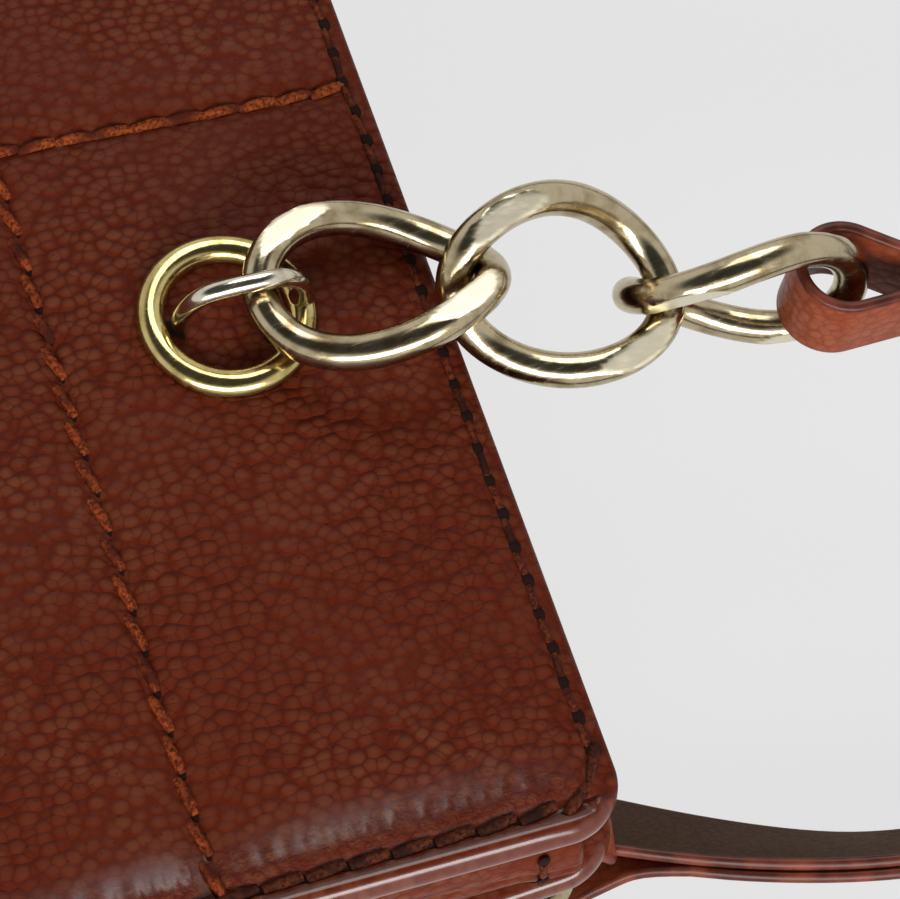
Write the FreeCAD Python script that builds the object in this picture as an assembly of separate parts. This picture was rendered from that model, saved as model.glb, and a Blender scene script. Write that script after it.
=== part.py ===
import FreeCAD, Part
import math
import os

V = FreeCAD.Vector
os.makedirs("parts", exist_ok=True)

# Bag body, millimetres and degrees. The bag lies on its back with the mouth toward +Y.
panel_width = 240.0
panel_height = 186.0
panel_thick = 3.2
front_slope = 9.0
mouth_depth = 17.0
mouth_corner = 12.0
base_corner = 8.0
edge_round = 1.1
wall_inset = 3.0
wall_thick = 1.6
hem_back = 4.2
board_thick = 2.0
lining_thick = 0.8
facing_thick = 1.2
facing_height = 36.0
lay_gap = 0.06

# Eyelets, plates and bails
eyelet_x = 62.4
eyelet_drop = 20.54
eyelet_lift = 11.2
ring_radius = 6.9
ring_tube = 1.35
ring_rise = 0.35
prong_radius = 0.8
prong_fit = 0.05
plate_radius = 9.4
plate_thick = 0.8
bail_wire = 0.9
bail_height = 7.6
bail_foot = 4.5
bail_lean = 0.9
weld_gap = 0.02
pin_sides = 8
plate_sides = 20
ring_sides = 24
bail_rings = 18

# Curb links
pitch = 18.3
link_half_width = 8.1
link_wire = 1.62
link_twist = 24.0
link_flat = 2.8
link_play = 0.15
link_rings = 22
link_sides = 8

# Chain lay: lean is the angle from the mouth direction, dip is below level, roll is about the chain
bar_aside = 0.5
bar_rise = 4.4
back_bar_rise = 5.0
bar_ahead = 2.7
front_lean = (8.9, 13.7, 10.8)
front_dip = (-1.8, 12.4, 0.0)
front_roll = (-14.0, 27.0, 99.0)
back_lean = (85.0, 86.0, 87.0)
back_height_at = (5.4, 5.4, 5.7)
back_roll = (-13.0, 2.0, 16.0)

# Straps
strap_length = 465.0
strap_width = 9.0
layer_thick = 1.2
layer_gap = 0.05
loop_inner = 3.8
loop_neck = 11.0
front_seat = 1.4
back_seat = 0.9
layer_lap = 1.5
front_heading = 19.0
back_tilt = 24.0
back_turn = 55.0
floor_gap = 0.05

# Snap and pocket
snap_radius = 8.0
snap_drop = 18.0
socket_thick = 1.6
stud_thick = 1.2
stud_boss = 3.4
stud_clear = 0.4
pocket_width = 130.0
pocket_height = 78.0
pocket_from_base = 42.0
pocket_thick = 0.9


def rad(a):
    return math.radians(a)


def unit(v):
    return v * (1.0 / v.Length)


def frame_at(x, y, z, o):
    return FreeCAD.Matrix(x.x, y.x, z.x, o.x, x.y, y.y, z.y, o.y, x.z, y.z, z.z, o.z, 0, 0, 0, 1)


def placed(shape, m):
    s = shape.copy()
    s.Placement = FreeCAD.Placement(m).multiply(s.Placement)
    return s


def prism(points, direction):
    face = Part.Face(Part.makePolygon(points + [points[0]]))
    return face.extrude(direction)


def ring_points(centre, u, v, radius, count):
    turns = [2 * math.pi * i / count for i in range(count)]
    return [centre + u * (radius * math.cos(a)) + v * (radius * math.sin(a)) for a in turns]


def round_bar(radius, x, y, z1, z2, count):
    return prism(ring_points(V(x, y, z1), V(1, 0, 0), V(0, 1, 0), radius, count), V(0, 0, z2 - z1))


def skin(rings, closed):
    faces = []
    count = len(rings[0])
    spans = len(rings) if closed else len(rings) - 1
    for i in range(spans):
        a = rings[i]
        b = rings[(i + 1) % len(rings)]
        for j in range(count):
            k = (j + 1) % count
            for tri in ((a[j], b[j], b[k]), (a[j], b[k], a[k])):
                faces.append(Part.Face(Part.makePolygon(list(tri) + [tri[0]])))
    if not closed:
        for end in (rings[0], rings[-1]):
            faces.append(Part.Face(Part.makePolygon(end + [end[0]])))
    shell = Part.Shell(faces)
    shell.sewShape()
    solid = Part.Solid(shell)
    if solid.Volume < 0:
        solid.reverse()
    return solid


# Side profile, measured from the base edge
tan_front = math.tan(rad(front_slope))
mouth_y = panel_height * math.cos(rad(front_slope))
eyelet_y = mouth_y - eyelet_drop * math.cos(rad(front_slope))
tan_back = eyelet_lift / eyelet_y
back_slope = math.degrees(math.atan(tan_back))
mouth_z = mouth_y * tan_back + mouth_depth


def front_in(y, depth):
    return mouth_z + (mouth_y - y) * tan_front - depth / math.cos(rad(front_slope))


def back_in(y, depth):
    return y * tan_back + depth / math.cos(rad(back_slope))


def between(y1, y2, depth, x1, x2):
    pts = [V(x1, y1, back_in(y1, depth)), V(x1, y2, back_in(y2, depth))]
    pts += [V(x1, y2, front_in(y2, depth)), V(x1, y1, front_in(y1, depth))]
    return prism(pts, V(x2 - x1, 0, 0))


# The front panel frame starts at the mouth edge, the back panel frame at the base edge
cf = math.cos(rad(front_slope))
sf = math.sin(rad(front_slope))
cb = math.cos(rad(back_slope))
sb = math.sin(rad(back_slope))
ex = V(1, 0, 0)
front_y = V(0, cf, -sf)
front_z = V(0, sf, cf)
back_y = V(0, cb, sb)
back_z = V(0, -sb, cb)
back_height = mouth_y / cb


def rounded_slab(half, y1, y2, r1, r2, z1, z2):
    pts = [V(-half, y1, z1), V(half, y1, z1), V(half, y2, z1), V(-half, y2, z1)]
    slab = prism(pts, V(0, 0, z2 - z1))
    low = [e for e in slab.Edges if abs(e.BoundBox.ZLength) > 0.5 and e.CenterOfMass.y < (y1 + y2) / 2]
    slab = slab.makeFillet(r1, low)
    high = [e for e in slab.Edges if abs(e.BoundBox.ZLength) > 0.5 and abs(e.CenterOfMass.y - y2) < 0.01]
    return slab.makeFillet(r2, high)


def rim(slab, z):
    edges = [e for e in slab.Edges if e.BoundBox.ZLength < 0.01 and abs(e.CenterOfMass.z - z) < 0.01]
    return slab.makeFillet(edge_round, edges)


def drill(shape, x, y, radius, z1, z2, count):
    return shape.cut(round_bar(radius, x, y, z1, z2, count))


def hardware_holes(slab, y, out):
    for side in (-1, 1):
        x = side * eyelet_x
        inner = -out * panel_thick
        low = min(inner, inner + out * plate_thick)
        through = panel_thick * 2
        slab = drill(slab, x, y, plate_radius + lay_gap, low, low + plate_thick, plate_sides)
        for prong in (-ring_radius, ring_radius):
            slab = drill(slab, x + prong, y, prong_radius + prong_fit, -through, through, pin_sides)
        slab = drill(slab, x, y - bail_foot, bail_wire + prong_fit, -through, through, pin_sides)
    return slab


half = panel_width / 2
front = rounded_slab(half, -panel_height, 0, base_corner, mouth_corner, -panel_thick, 0)
front = hardware_holes(rim(front, 0), -eyelet_drop, 1)
back_eyelet = eyelet_y / cb
back = rounded_slab(half, 0, back_height, base_corner, mouth_corner, 0, panel_thick)
back = hardware_holes(rim(back, 0), back_eyelet, -1)
front_m = frame_at(ex, front_y, front_z, V(0, mouth_y, mouth_z))
back_m = frame_at(ex, back_y, back_z, V(0, 0, 0))

pieces = {}
pieces["front_panel"] = placed(front, front_m)
pieces["back_panel"] = placed(back, back_m)

# Gussets, base and what lies inside them
deep = panel_thick + lay_gap
wall_x = half - wall_inset
wall_in = wall_x - wall_thick
hem_y = mouth_y - hem_back
pieces["right_gusset"] = between(wall_inset, hem_y, deep, wall_in, wall_x)
pieces["left_gusset"] = between(wall_inset, hem_y, deep, -wall_x, -wall_in)
side = wall_in - lay_gap
base_in = wall_inset + wall_thick
pieces["base_panel"] = between(wall_inset, base_in, deep, -side, side)
board_y = base_in + lay_gap
board_in = board_y + board_thick
pieces["base_board"] = between(board_y, board_in, deep, -side, side)

lining_y = board_in + lay_gap
facing_y = mouth_y - facing_height
cloth = deep + lining_thick
outer = between(lining_y, facing_y - lay_gap, deep, -side, side)
hollow = between(lining_y + lining_thick, mouth_y, cloth, lining_thick - side, side - lining_thick)
pieces["lining"] = outer.cut(hollow)
pieces["right_gusset_facing"] = between(facing_y, hem_y, deep, side - lining_thick, side)
pieces["left_gusset_facing"] = between(facing_y, hem_y, deep, -side, lining_thick - side)

reach = side - lining_thick - lay_gap
strip = between(facing_y, hem_y, deep, -reach, reach)
core = between(facing_y - 1, hem_y + 1, deep + facing_thick, -reach - 1, reach + 1)
strips = strip.cut(core).Solids
strips.sort(key=lambda s: s.CenterOfMass.z)
pieces["back_facing"] = strips[0]
pieces["front_facing"] = strips[1]

# Snap halves on the two facings, slip pocket on the back lining
snug = deep + facing_thick + lay_gap
socket = round_bar(snap_radius, 0, -snap_drop, -snug - socket_thick, -snug, plate_sides)
dimple = -snug - socket_thick / 2
socket = drill(socket, 0, -snap_drop, stud_boss + stud_clear, dimple - socket_thick, dimple, plate_sides)
pieces["snap_socket"] = placed(socket, front_m)
stud_y = back_height - snap_drop
stud = round_bar(snap_radius, 0, stud_y, snug, snug + stud_thick, plate_sides)
stud = stud.fuse(round_bar(stud_boss, 0, stud_y, snug + stud_thick, snug + 2 * stud_thick, plate_sides))
pieces["snap_stud"] = placed(stud.removeSplitter(), back_m)
pocket_low = cloth + lay_gap
pocket_corner = V(-pocket_width / 2, pocket_from_base, pocket_low)
pocket = Part.makeBox(pocket_width, pocket_height, pocket_thick, pocket_corner)
pieces["slip_pocket"] = placed(pocket, back_m)


# Eyelet hardware in its own frame: ring axis +Z out of the leather, +Y toward the mouth
def eyelet():
    sink = math.asin(ring_rise / ring_tube)
    rings = []
    for i in range(ring_sides):
        a = 2 * math.pi * i / ring_sides
        way = V(math.cos(a), math.sin(a), 0)
        ring = []
        for j in range(pin_sides):
            turn = -sink + (math.pi + 2 * sink) * j / (pin_sides - 1)
            up = V(0, 0, ring_rise + ring_tube * math.sin(turn))
            ring.append(way * (ring_radius + ring_tube * math.cos(turn)) + up)
        rings.append(ring)
    whole = skin(rings, True)
    for x in (-ring_radius, ring_radius):
        whole = whole.fuse(round_bar(prong_radius, x, 0, -panel_thick, ring_rise, pin_sides))
    return whole


def plate():
    disc = round_bar(plate_radius, 0, 0, -panel_thick, plate_thick - panel_thick, plate_sides)
    for x in (-ring_radius, ring_radius):
        disc = drill(disc, x, 0, prong_radius + prong_fit, -panel_thick - 1, 0, pin_sides)
    return drill(disc, 0, -bail_foot, bail_wire + prong_fit, -panel_thick - 1, 0, pin_sides)


def bail(lean):
    h = bail_height
    foot = -bail_foot
    top = ring_rise + ring_tube + weld_gap
    pts = [V(0, foot, -panel_thick), V(0, foot, 0), V(0.2 * lean, foot, 0.4 * h)]
    pts += [V(0.7 * lean, 0.62 * foot, 0.86 * h), V(lean, 0.25 * ring_radius, h)]
    pts += [V(0.8 * lean, 0.66 * ring_radius, 0.91 * h)]
    pts += [V(0.4 * lean, 0.93 * ring_radius, 0.6 * h), V(0.1 * lean, ring_radius, top)]
    curve = Part.BSplineCurve()
    curve.interpolate(pts, InitialTangent=V(0, 0, 1), FinalTangent=V(0, 0, -1))
    rings = []
    for i in range(bail_rings):
        t = curve.LastParameter * i / (bail_rings - 1)
        way = curve.tangent(t)[0]
        side_way = unit(ex - way * ex.dot(way))
        rings.append(ring_points(curve.value(t), side_way, way.cross(side_way), bail_wire, pin_sides))
    return skin(rings, False)


def eyelet_frames():
    rows = {}
    for word, side_sign in (("right", 1), ("left", -1)):
        o = V(side_sign * eyelet_x, mouth_y, mouth_z) - front_y * eyelet_drop
        rows["front_" + word] = (frame_at(ex, front_y, front_z, o), side_sign)
        o = V(side_sign * eyelet_x, 0, 0) + back_y * back_eyelet
        rows["back_" + word] = (frame_at(ex * -1, back_y, back_z * -1, o), -side_sign)
    return rows


eyelets = eyelet_frames()
plates = []
for word, (m, lean_sign) in eyelets.items():
    pieces[word + "_eyelet"] = placed(eyelet(), m)
    pieces[word + "_bail"] = placed(bail(lean_sign * bail_lean), m)
    plates.append(placed(plate(), m))
pieces["eyelet_plates"] = Part.makeCompound(plates)

# One curb link about its own centre, long axis +X, twisted along its length and ground flat
link_a = pitch / 2 + link_wire + link_play


def link_point(t):
    y = link_half_width * math.sin(t)
    turn = -rad(link_twist) * math.cos(t)
    return V(link_a * math.cos(t), y * math.cos(turn), y * math.sin(turn))


def curb_link():
    rings = []
    for i in range(link_rings):
        t = 2 * math.pi * i / link_rings
        here = link_point(t)
        way = unit(link_point(t + 0.001) - link_point(t - 0.001))
        outward = unit(here - way * here.dot(way))
        ring = ring_points(here, outward, way.cross(outward), link_wire, link_sides)
        rings.append([V(p.x, p.y, max(-link_flat, min(link_flat, p.z))) for p in ring])
    return skin(rings, True)


def link_frame(start, end, up, roll):
    x = unit(end - start)
    y = unit(up.cross(x))
    z = x.cross(y)
    c = math.cos(rad(roll))
    s = math.sin(rad(roll))
    return frame_at(x, y * c + z * s, z * c - y * s, (start + end) * 0.5)


def chain_nodes(first, steps):
    nodes = [first]
    for step in steps:
        nodes.append(nodes[-1] + unit(step) * pitch)
    return nodes


def front_chain(side_sign):
    m, s = eyelets["front_right" if side_sign > 0 else "front_left"]
    first = m.multVec(V(side_sign * bar_aside, bar_ahead, bar_rise)) + front_y * (link_wire + link_play)
    steps = []
    for lean, dip in zip(front_lean, front_dip):
        flat = ex * (side_sign * math.sin(rad(lean))) + front_y * math.cos(rad(lean))
        steps.append(flat * math.cos(rad(dip)) - front_z * math.sin(rad(dip)))
    return chain_nodes(first, steps)


def back_chain(side_sign):
    m, s = eyelets["back_right" if side_sign > 0 else "back_left"]
    nodes = [m.multVec(V(side_sign * (bail_wire + link_play), ring_radius, back_bar_rise))]
    for i in range(3):
        lean = rad(back_lean[i])
        drop = (back_height_at[i] - nodes[-1].z) / pitch
        level = math.sqrt(1 - drop * drop)
        nodes.append(nodes[-1] + V(side_sign * math.sin(lean) * level, math.cos(lean) * level, drop) * pitch)
    return nodes


link = curb_link()
chains = {}
for word, side_sign in (("right", 1), ("left", -1)):
    chains["front_" + word] = (front_chain(side_sign), front_z, front_roll)
    chains["back_" + word] = (back_chain(side_sign), V(0, 0, 1), back_roll)
frames = {}
for word, (nodes, up, rolls) in chains.items():
    for i in range(3):
        name = "%s_link_%d" % (word, i + 1)
        frames[name] = link_frame(nodes[i], nodes[i + 1], up, rolls[i])
        pieces[name] = placed(link, frames[name])


# Straps: two sewn layers, the outer one folded into a loop at each end
strap_half = layer_thick + layer_gap


def end_loop(centre, along, wide):
    thick = wide.cross(along)
    m = frame_at(along, thick, wide, centre)
    low = V(0, 0, -strap_width / 2)
    big = loop_inner + layer_thick
    eye = Part.makeCylinder(big, strap_width, low)
    pts = [V(0, -big, low.z), V(loop_neck, -strap_half, low.z)]
    pts += [V(loop_neck, strap_half, low.z), V(0, big, low.z)]
    eye = eye.fuse(prism(pts, V(0, 0, strap_width)))
    eye = eye.cut(Part.makeCylinder(loop_inner, strap_width, low))
    return placed(eye, m)


def joined(shapes):
    whole = shapes[0]
    for s in shapes[1:]:
        whole = whole.fuse(s)
    return whole.removeSplitter()


# The front strap lies in one plane that falls from the chains to the floor
bar_point = frames["front_right_link_3"].multVec(link_point(0) - ex * front_seat)
turn = rad(90 + front_heading)
ch = math.cos(rad(front_heading))
sh = math.sin(rad(front_heading))
leg = (strap_length / 2 - turn * bar_point.x / ch) / (1 + turn * sh / ch)
bend = (bar_point.x + leg * sh) / ch
apex = leg * ch + bend * sh + bend + strap_half
fall = math.asin(bar_point.z / math.hypot(apex, strap_width / 2)) - math.atan2(strap_width / 2, apex)
plane_y = V(0, math.cos(fall), -math.sin(fall))
plane_z = V(0, math.sin(fall), math.cos(fall))
plane_m = frame_at(ex, plane_y, plane_z, V(0, bar_point.y, bar_point.z))


def front_layer(inside, outside, start):
    hub = V(0, leg * ch + bend * sh, -strap_width / 2)
    big = Part.makeCylinder(bend + outside, strap_width, hub)
    ring = big.cut(Part.makeCylinder(bend + inside, strap_width, hub))
    wedge = 2 * bend
    for s in (-1, 1):
        edge = V(s * ch, -sh, 0)
        back_way = V(-s * sh, -ch, 0)
        pts = [hub, hub + edge * wedge, hub + edge * wedge + back_way * wedge, hub + back_way * wedge]
        ring = ring.cut(prism(pts, V(0, 0, strap_width)))
    parts = []
    for s in (-1, 1):
        edge = V(s * ch, -sh, 0)
        way = V(s * sh, ch, 0)
        root = V(s * bar_point.x, 0, -strap_width / 2)
        pts = [root + way * start + edge * inside, root + way * leg + edge * inside]
        pts += [root + way * leg + edge * outside, root + way * start + edge * outside]
        parts.append(prism(pts, V(0, 0, strap_width)))
    ring = [s for s in ring.Solids if s.CenterOfMass.y > hub.y - bend * sh]
    return joined(ring + parts)


loops = []
for s in (-1, 1):
    loops.append(end_loop(V(s * bar_point.x, 0, 0), V(s * sh, ch, 0), V(0, 0, 1)))
outer = joined([front_layer(layer_gap, strap_half, loop_neck)] + loops)
pieces["front_strap_outer"] = placed(outer, plane_m)
pieces["front_strap_lining"] = placed(front_layer(-strap_half, -layer_gap, loop_neck + layer_gap), plane_m)

# The back strap lies on the floor as one arc, tilted so its outer edge stands higher
low_h = 0.0
high_h = 60.0


def back_hold(word, side_sign):
    m = frames["back_%s_link_3" % word]
    t = side_sign * rad(back_turn)
    here = m.multVec(link_point(t))
    wire = m.multVec(link_point(t - side_sign * 0.02)) - here
    return here, unit(wire)


anchor = back_hold("right", 1)[0]
for i in range(50):
    mid_h = (low_h + high_h) / 2
    if 2 * anchor.x / math.cos(rad(mid_h)) * rad(90 + mid_h) < strap_length:
        low_h = mid_h
    else:
        high_h = mid_h
back_heading = mid_h
arc_radius = anchor.x / math.cos(rad(back_heading))
arc_y = anchor.y + arc_radius * math.sin(rad(back_heading))
tilt_c = math.cos(rad(back_tilt))
tilt_s = math.sin(rad(back_tilt))
strap_z = strap_width / 2 * tilt_s + strap_half * tilt_c + floor_gap


def back_layer(inside, outside, start):
    pts = []
    for w, k in ((-1, inside), (1, inside), (1, outside), (-1, outside)):
        r = arc_radius + w * strap_width / 2 * tilt_c - k * tilt_s
        pts.append(V(r, 0, strap_z + w * strap_width / 2 * tilt_s + k * tilt_c))
    skip = math.degrees(start / arc_radius)
    face = Part.Face(Part.makePolygon(pts + [pts[0]]))
    face.rotate(V(0, 0, 0), V(0, 0, 1), skip - back_heading)
    band = face.revolve(V(0, 0, 0), V(0, 0, 1), 180 + 2 * (back_heading - skip))
    band.translate(V(0, arc_y, 0))
    return band


loops = []
for word, s in (("left", -1), ("right", 1)):
    centre, wide = back_hold(word, s)
    ahead = back_heading - math.degrees(loop_neck / arc_radius)
    neck_end = V(s * math.cos(rad(ahead)), -math.sin(rad(ahead)), 0) * arc_radius + V(0, arc_y, strap_z)
    along = neck_end - centre
    along = unit(along - wide * along.dot(wide))
    loops.append(end_loop(centre - along * back_seat, along, wide))
pieces["back_strap_outer"] = joined([back_layer(-strap_half, -layer_gap, loop_neck - layer_lap)] + loops)
pieces["back_strap_lining"] = back_layer(layer_gap, strap_half, loop_neck + layer_lap)

# The middle of the whole part lies at the origin
far_y = bar_point.y + apex * math.cos(fall) + strap_width / 2 * math.sin(fall)
shift = V(0, -far_y / 2, 0)
for name, shape in pieces.items():
    shape.translate(shift)
    shape.exportStep("parts/%s.step" % name)
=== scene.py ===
import bpy
import bmesh
import math
import numpy as np
from mathutils import Matrix, Vector


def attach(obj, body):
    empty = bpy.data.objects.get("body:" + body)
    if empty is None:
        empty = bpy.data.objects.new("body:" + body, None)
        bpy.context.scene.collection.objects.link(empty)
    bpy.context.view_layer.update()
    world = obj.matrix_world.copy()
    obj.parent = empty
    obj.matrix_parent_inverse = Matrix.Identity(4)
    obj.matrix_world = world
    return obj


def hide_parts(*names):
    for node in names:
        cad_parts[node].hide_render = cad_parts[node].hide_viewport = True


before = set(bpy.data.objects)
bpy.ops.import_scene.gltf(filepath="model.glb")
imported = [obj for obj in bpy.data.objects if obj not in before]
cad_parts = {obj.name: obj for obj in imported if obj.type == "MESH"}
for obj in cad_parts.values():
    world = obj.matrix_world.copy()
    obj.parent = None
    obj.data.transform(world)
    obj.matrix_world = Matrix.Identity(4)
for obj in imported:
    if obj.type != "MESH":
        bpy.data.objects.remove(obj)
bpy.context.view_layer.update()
scene = bpy.context.scene
scene.view_settings.view_transform = "Standard"
mm = 0.001
print("frame loaded")

# camera where the photograph was taken from
camSet = {
    "lens": 120,
    "place": (186.19, -56.96, 283.20),
    "right": (0.31497, 0.94903, 0.01131),
    "up": (-0.86887, 0.28352, 0.40580),
    "back": (0.38191, -0.13764, 0.91389),
}


def makeCamera():
    data = bpy.data.cameras.new("photoCamera")
    data.lens = camSet["lens"]
    data.sensor_width = 36
    data.clip_start = 0.01
    cam = bpy.data.objects.new("photoCamera", data)
    turn = Matrix((camSet["right"], camSet["up"], camSet["back"])).transposed()
    cam.matrix_world = Matrix.Translation(Vector(camSet["place"]) * mm) @ turn.to_4x4()
    scene.collection.objects.link(cam)
    scene.camera = cam


makeCamera()


def tint(r, g, b):
    way = [c / 255 for c in (r, g, b)]
    lin = [c / 12.92 if c <= 0.04045 else ((c + 0.055) / 1.055) ** 2.4 for c in way]
    return (lin[0], lin[1], lin[2], 1)


def put(tree, kind, inputs=None, **props):
    node = tree.nodes.new(kind)
    for key, value in props.items():
        setattr(node, key, value)
    for key, value in (inputs or {}).items():
        if isinstance(value, bpy.types.NodeSocket):
            tree.links.new(value, node.inputs[key])
        else:
            node.inputs[key].default_value = value
    return node


def mathOf(tree, operation, a, b=0.0, c=0.0):
    return put(tree, "ShaderNodeMath", {0: a, 1: b, 2: c}, operation=operation).outputs[0]


def ramp(tree, value, low, high):
    inputs = {"Value": value, "From Min": low, "From Max": high}
    return put(tree, "ShaderNodeMapRange", inputs, interpolation_type="SMOOTHSTEP").outputs[0]


def noiseOf(tree, vector, scale, detail, **more):
    inputs = {"Vector": vector, "Scale": scale, "Detail": detail, **more}
    return put(tree, "ShaderNodeTexNoise", inputs).outputs[0]


def mixColour(tree, factor, a, b, blend="MIX"):
    node = put(tree, "ShaderNodeMix", data_type="RGBA", blend_type=blend)
    for key, value in ((0, factor), (6, a), (7, b)):
        if isinstance(value, bpy.types.NodeSocket):
            tree.links.new(value, node.inputs[key])
        else:
            node.inputs[key].default_value = value
    return node.outputs[2]


def newMaterial(name, inputs):
    mat = bpy.data.materials.new(name)
    mat.use_nodes = True
    tree = mat.node_tree
    tree.nodes.clear()
    bsdf = put(tree, "ShaderNodeBsdfPrincipled", inputs)
    put(tree, "ShaderNodeOutputMaterial", {0: bsdf.outputs[0]})
    spot = put(tree, "ShaderNodeTexCoord").outputs["Object"]
    return mat, tree, bsdf, spot


def bumpTo(tree, bsdf, height, strength, distance):
    bump = put(tree, "ShaderNodeBump", {"Height": height, "Strength": strength, "Distance": distance})
    tree.links.new(bump.outputs[0], bsdf.inputs["Normal"])


# pebbled leather grain shared by every leather piece
def pebbleGrain():
    group = bpy.data.node_groups.new("pebbleGrain", "ShaderNodeTree")
    face = group.interface
    face.new_socket("Vector", in_out="INPUT", socket_type="NodeSocketVector")
    face.new_socket("Scale", in_out="INPUT", socket_type="NodeSocketFloat")
    for name in ("Height", "Crease", "Tone", "Pore", "Smooth", "DomeSheen"):
        face.new_socket(name, in_out="OUTPUT", socket_type="NodeSocketFloat")
    start = put(group, "NodeGroupInput")
    end = put(group, "NodeGroupOutput")
    vector, scale = start.outputs["Vector"], start.outputs["Scale"]
    slow = mathOf(group, "MULTIPLY", scale, 0.4)
    warp = put(group, "ShaderNodeTexNoise", {"Vector": vector, "Scale": slow, "Detail": 1}).outputs["Color"]
    push = put(group, "ShaderNodeVectorMath", {0: warp, 1: (0.5, 0.5, 0.5)}, operation="SUBTRACT").outputs[0]
    size = mathOf(group, "DIVIDE", 0.55, scale)
    push = put(group, "ShaderNodeVectorMath", {0: push, "Scale": size}, operation="SCALE").outputs[0]
    bent = put(group, "ShaderNodeVectorMath", {0: vector, 1: push}, operation="ADD").outputs[0]
    cells = {"Vector": bent, "Scale": scale, "Randomness": 0.82}
    edge = put(group, "ShaderNodeTexVoronoi", cells, feature="DISTANCE_TO_EDGE")
    cell = put(group, "ShaderNodeTexVoronoi", cells, feature="F1")
    soft = put(group, "ShaderNodeTexVoronoi", {**cells, "Smoothness": 0.3}, feature="SMOOTH_F1")
    crease = ramp(group, edge.outputs["Distance"], -0.02, 0.09)
    round = mathOf(group, "MULTIPLY", soft.outputs["Distance"], soft.outputs["Distance"])
    dome = mathOf(group, "MULTIPLY_ADD", round, -1.7, 1.0)
    tone = put(group, "ShaderNodeSeparateColor", {0: cell.outputs["Color"]}).outputs[0]
    tight = mathOf(group, "MULTIPLY", scale, 7.0)
    fine = noiseOf(group, bent, tight, 3, Roughness=0.6)
    wide = mathOf(group, "MULTIPLY", scale, 0.075)
    zones = noiseOf(group, vector, wide, 1)
    smooth = ramp(group, zones, 0.42, 0.62)
    speck = mathOf(group, "MULTIPLY", scale, 1.35)
    hole = put(group, "ShaderNodeTexVoronoi", {"Vector": vector, "Scale": speck}, feature="F1").outputs["Distance"]
    pore = ramp(group, hole, 0.2, 0.04)
    lift = mathOf(group, "MULTIPLY_ADD", crease, 0.1, dome)
    lift = mathOf(group, "MULTIPLY_ADD", tone, 0.14, lift)
    keep = mathOf(group, "MULTIPLY_ADD", smooth, -0.5, 1.0)
    lift = mathOf(group, "MULTIPLY", lift, keep)
    lift = mathOf(group, "MULTIPLY_ADD", fine, 0.1, lift)
    lift = mathOf(group, "MULTIPLY_ADD", pore, -0.18, lift)
    made = {"Height": lift, "Crease": crease, "Tone": tone, "Pore": pore, "Smooth": smooth}
    # mask of the pebble domes, used only for the painted sheen on their tops
    made["DomeSheen"] = ramp(group, dome, 0.35, 0.95)
    for name, value in made.items():
        group.links.new(value, end.inputs[name])
    return group


grainGroup = pebbleGrain()


# dark is the painted shade for creases and pores, mid the leather's own colour, light the painted sheen on pebble tops
def leather(name, dark, mid, light, scale, depth, rough, flat=1.0, worked=False):
    mat, tree, bsdf, spot = newMaterial(name, {"Specular IOR Level": 0.06, "Coat Roughness": 0.17})
    seat = put(tree, "ShaderNodeMapping", {"Vector": spot, "Scale": (1.12, 0.88, flat)}).outputs[0]
    grain = put(tree, "ShaderNodeGroup", {}, node_tree=grainGroup)
    tree.links.new(seat, grain.inputs["Vector"])
    grain.inputs["Scale"].default_value = scale
    drift = noiseOf(tree, spot, scale * 0.07, 3)
    patch = ramp(tree, drift, 0.35, 0.68)
    # painted sheen: the pebble tops are lightened towards the light tint, varied by random cell tone and patches
    top = mathOf(tree, "MULTIPLY", mathOf(tree, "MULTIPLY_ADD", grain.outputs["Tone"], 0.5, 0.5), grain.outputs["DomeSheen"])
    top = mathOf(tree, "MULTIPLY", top, mathOf(tree, "MULTIPLY_ADD", patch, 0.6, 0.4))
    body = mixColour(tree, top, mid, light)
    # painted shade: the creases between pebbles are darkened, less in smooth zones and on the worked edge
    creaseShadeMix = mathOf(tree, "MULTIPLY_ADD", grain.outputs["Crease"], 0.32, 0.68)
    creaseShadeMix = mathOf(tree, "MAXIMUM", creaseShadeMix, mathOf(tree, "MULTIPLY", grain.outputs["Smooth"], 0.92))
    height = grain.outputs["Height"]
    gloss = mathOf(tree, "MULTIPLY_ADD", grain.outputs["Tone"], 0.12, rough - 0.06)
    gloss = mathOf(tree, "MULTIPLY_ADD", grain.outputs["Smooth"], -0.06, gloss)
    if worked:  # the rolled edge is smooth and shiny, the leather drawn in beside it is crinkled
        rim = put(tree, "ShaderNodeAttribute", attribute_name="rim").outputs["Fac"]
        drawn = put(tree, "ShaderNodeAttribute", attribute_name="drawn").outputs["Fac"]
        calm = mathOf(tree, "MAXIMUM", rim, mathOf(tree, "MULTIPLY", drawn, 0.8))
        creaseShadeMix = mathOf(tree, "MAXIMUM", creaseShadeMix, calm)
        height = mathOf(tree, "MULTIPLY", height, mathOf(tree, "MULTIPLY_ADD", calm, -0.85, 1.0))
        crimp = noiseOf(tree, seat, scale * 2.2, 4, Distortion=0.8)
        height = mathOf(tree, "MULTIPLY_ADD", mathOf(tree, "MULTIPLY", crimp, drawn), 2.6, height)
        gloss = mathOf(tree, "MULTIPLY_ADD", calm, mathOf(tree, "SUBTRACT", 0.3, gloss), gloss)
        shine = mathOf(tree, "MAXIMUM", rim, drawn)
        tree.links.new(shine, bsdf.inputs["Coat Weight"])
    # painted shade laid into the creases, then into the pores
    body = mixColour(tree, creaseShadeMix, dark, body)
    body = mixColour(tree, mathOf(tree, "MULTIPLY", grain.outputs["Pore"], 0.35), body, dark)
    tree.links.new(body, bsdf.inputs["Base Color"])
    tree.links.new(gloss, bsdf.inputs["Roughness"])
    bumpTo(tree, bsdf, height, 0.9, depth)
    return mat


# tints per leather: painted crease and pore shade, own colour, painted pebble sheen
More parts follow.
